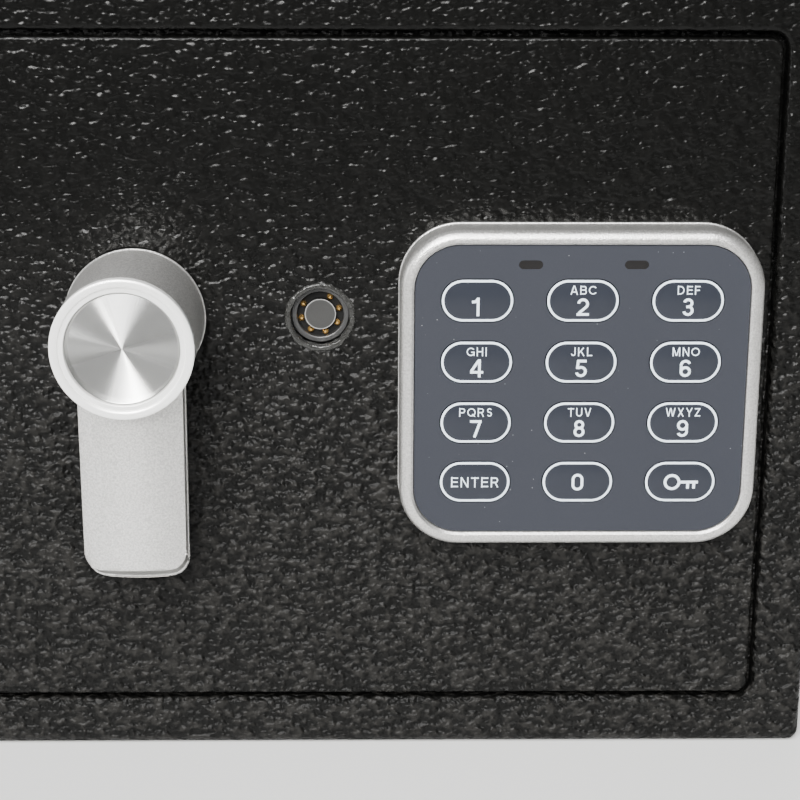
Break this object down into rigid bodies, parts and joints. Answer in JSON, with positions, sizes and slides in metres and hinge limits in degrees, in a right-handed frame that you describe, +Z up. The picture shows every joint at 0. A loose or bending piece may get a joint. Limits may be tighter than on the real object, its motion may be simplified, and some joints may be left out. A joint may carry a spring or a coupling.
{
  "type": "electronic safe",
  "caption": "Small black steel safe with a push-button keypad, silver lever handle and a recessed tubular override lock; hinged door with sliding live bolts.",
  "frame": {"origin": "centre of the case's base", "axes": "+X to the right seen from the front, -Y out of the door's front, +Z up"},
  "size_m": [0.23, 0.1964, 0.17],
  "materials": {
    "textured_paint": "black hammer-texture powder coat, semi-gloss",
    "felt": "dark grey needle felt",
    "zinc_plate": "bright zinc plate",
    "bronze": "sintered bronze",
    "silver_paint": "fine silver metallic paint",
    "bright_ring": "satin bright metal",
    "spun_metal": "circular spun finish",
    "black_plastic": "moulded",
    "face_plastic": "blue-grey matte",
    "key_plastic": "blue-grey, glossy inside a white outline",
    "window": "smoked",
    "lock_metal": "dull zinc",
    "pin_brass": "bright",
    "board": "green circuit board",
    "dome": "silicone",
    "coil": "enamelled winding",
    "cell": "blue sleeve",
    "ribbon": "grey ribbon",
    "red_plastic": "moulded"
  },
  "bodies": {
    "case": {"case_shell": "textured_paint", "back_panel": "textured_paint", "door_stop": "textured_paint", "strike_channel": "textured_paint", "floor_mat": "felt", "hinge_bushes": "bronze"},
    "door": {"door_plate": "textured_paint", "hinge_blocks": "zinc_plate", "hinge_pins": "zinc_plate", "lock_pan": "textured_paint", "inner_cover": "textured_paint", "cover_screws": "zinc_plate", "battery_tray": "black_plastic", "battery_cells": "cell", "battery_contacts": "zinc_plate", "control_board": "board", "ribbon_cable": "ribbon", "carriage_studs": "zinc_plate", "solenoid_frame": "zinc_plate", "solenoid_coil": "coil", "plunger_spring": "zinc_plate", "mount_screws": "zinc_plate", "handle_washer": "black_plastic", "spindle_bush": "bronze", "lock_barrel": "lock_metal", "keypad_bezel": "silver_paint", "keypad_face": "face_plastic", "keypad_base": "black_plastic", "switch_board": "board", "switch_domes": "dome", "led_windows": "window", "keypad_screws": "zinc_plate"},
    "carriage": {"bolt_carriage": "zinc_plate", "live_bolts": "zinc_plate"},
    "handle": {"handle_lever": "silver_paint", "handle_back_plate": "silver_paint", "handle_ring": "bright_ring", "handle_disc": "spun_metal", "spindle": "zinc_plate", "drive_crank": "zinc_plate", "crank_screw": "zinc_plate"},
    "lock": {"lock_plug": "lock_metal", "lock_pins": "pin_brass", "lock_cam": "zinc_plate", "cam_screw": "zinc_plate"},
    "plunger": {"solenoid_plunger": "zinc_plate"},
    "lid": {"battery_lid": "black_plastic"},
    "reset": {"reset_button": "red_plastic"},
    "key_1": {"key_1": "key_plastic"},
    "key_2": {"key_2": "key_plastic"},
    "key_3": {"key_3": "key_plastic"},
    "key_4": {"key_4": "key_plastic"},
    "key_5": {"key_5": "key_plastic"},
    "key_6": {"key_6": "key_plastic"},
    "key_7": {"key_7": "key_plastic"},
    "key_8": {"key_8": "key_plastic"},
    "key_9": {"key_9": "key_plastic"},
    "key_enter": {"key_enter": "key_plastic"},
    "key_0": {"key_0": "key_plastic"},
    "key_open": {"key_open": "key_plastic"}
  },
  "joints": [
    {"name": "door_swing", "type": "hinge", "parent": "case", "child": "door", "pos_m": [-0.0785, -0.0784, 0.085], "axis": [0, 0, -1], "range_deg": [0, 100]},
    {"name": "handle_turn", "type": "hinge", "parent": "door", "child": "handle", "pos_m": [-0.0308, -0.085, 0.0992], "axis": [0, -1, 0], "range_deg": [0, 60]},
    {"name": "carriage_slide", "type": "slide", "parent": "door", "child": "carriage", "axis": [1, 0, 0], "range_m": [0, 0.012]},
    {"name": "lock_turn", "type": "hinge", "parent": "door", "child": "lock", "pos_m": [0.0079, -0.085, 0.099], "axis": [0, 1, 0], "range_deg": [0, 90]},
    {"name": "plunger_slide", "type": "slide", "parent": "door", "child": "plunger", "axis": [0, 0, -1], "range_m": [0, 0.0025], "stiffness_N_per_m": 150, "springref_m": -0.004, "deforming": ["plunger_spring"]},
    {"name": "lid_swing", "type": "hinge", "parent": "door", "child": "lid", "pos_m": [-0.0585, -0.0427, 0.0921], "axis": [1, 0, 0], "range_deg": [0, 100]},
    {"name": "reset_press", "type": "slide", "parent": "door", "child": "reset", "axis": [0, -1, 0], "range_m": [0, 0.0012], "stiffness_N_per_m": 300, "springref_m": -0.0005},
    {"name": "key_1_press", "type": "slide", "parent": "door", "child": "key_1", "axis": [0, 1, 0], "range_m": [0, 0.0006], "stiffness_N_per_m": 400, "springref_m": -0.0005},
    {"name": "key_2_press", "type": "slide", "parent": "door", "child": "key_2", "axis": [0, 1, 0], "range_m": [0, 0.0006], "stiffness_N_per_m": 400, "springref_m": -0.0005},
    {"name": "key_3_press", "type": "slide", "parent": "door", "child": "key_3", "axis": [0, 1, 0], "range_m": [0, 0.0006], "stiffness_N_per_m": 400, "springref_m": -0.0005},
    {"name": "key_4_press", "type": "slide", "parent": "door", "child": "key_4", "axis": [0, 1, 0], "range_m": [0, 0.0006], "stiffness_N_per_m": 400, "springref_m": -0.0005},
    {"name": "key_5_press", "type": "slide", "parent": "door", "child": "key_5", "axis": [0, 1, 0], "range_m": [0, 0.0006], "stiffness_N_per_m": 400, "springref_m": -0.0005},
    {"name": "key_6_press", "type": "slide", "parent": "door", "child": "key_6", "axis": [0, 1, 0], "range_m": [0, 0.0006], "stiffness_N_per_m": 400, "springref_m": -0.0005},
    {"name": "key_7_press", "type": "slide", "parent": "door", "child": "key_7", "axis": [0, 1, 0], "range_m": [0, 0.0006], "stiffness_N_per_m": 400, "springref_m": -0.0005},
    {"name": "key_8_press", "type": "slide", "parent": "door", "child": "key_8", "axis": [0, 1, 0], "range_m": [0, 0.0006], "stiffness_N_per_m": 400, "springref_m": -0.0005},
    {"name": "key_9_press", "type": "slide", "parent": "door", "child": "key_9", "axis": [0, 1, 0], "range_m": [0, 0.0006], "stiffness_N_per_m": 400, "springref_m": -0.0005},
    {"name": "key_enter_press", "type": "slide", "parent": "door", "child": "key_enter", "axis": [0, 1, 0], "range_m": [0, 0.0006], "stiffness_N_per_m": 400, "springref_m": -0.0005},
    {"name": "key_0_press", "type": "slide", "parent": "door", "child": "key_0", "axis": [0, 1, 0], "range_m": [0, 0.0006], "stiffness_N_per_m": 400, "springref_m": -0.0005},
    {"name": "key_open_press", "type": "slide", "parent": "door", "child": "key_open", "axis": [0, 1, 0], "range_m": [0, 0.0006], "stiffness_N_per_m": 400, "springref_m": -0.0005}
  ],
  "couplings": [
    {"joint": "carriage_slide", "follows": "handle_turn", "m_per_rad": 0.011459}
  ]
}
